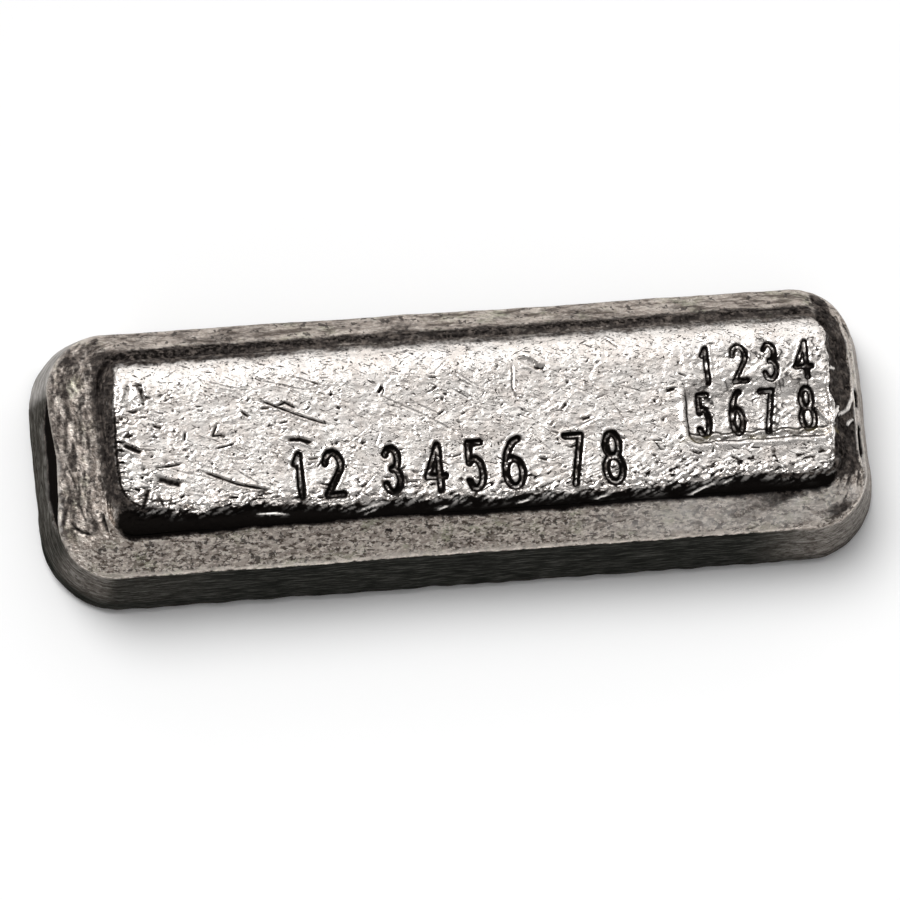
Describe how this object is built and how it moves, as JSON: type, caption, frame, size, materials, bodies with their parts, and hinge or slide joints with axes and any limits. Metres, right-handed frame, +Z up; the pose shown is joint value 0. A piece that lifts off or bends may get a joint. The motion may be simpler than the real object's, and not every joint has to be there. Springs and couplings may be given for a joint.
{
  "type": "cast silver bar",
  "caption": "Loaf-style cast silver bar: wide leaning base, sloping shoulder and a raised block with a flat struck face.",
  "frame": {"origin": "centre of the underside, in the plane that the bar lies on", "axes": "+X along the bar's length, towards the end that the small struck numerals are nearer to; +Y across it, towards the top of the numerals; +Z up, out of the struck face"},
  "size_m": [0.0924, 0.0304, 0.013],
  "materials": {
    "cast_silver": "as-cast silver, dull and tarnished on the shoulder and sides, bright and scratched on the struck face"
  },
  "bodies": {
    "root": {"bar": "cast_silver"}
  },
  "joints": []
}
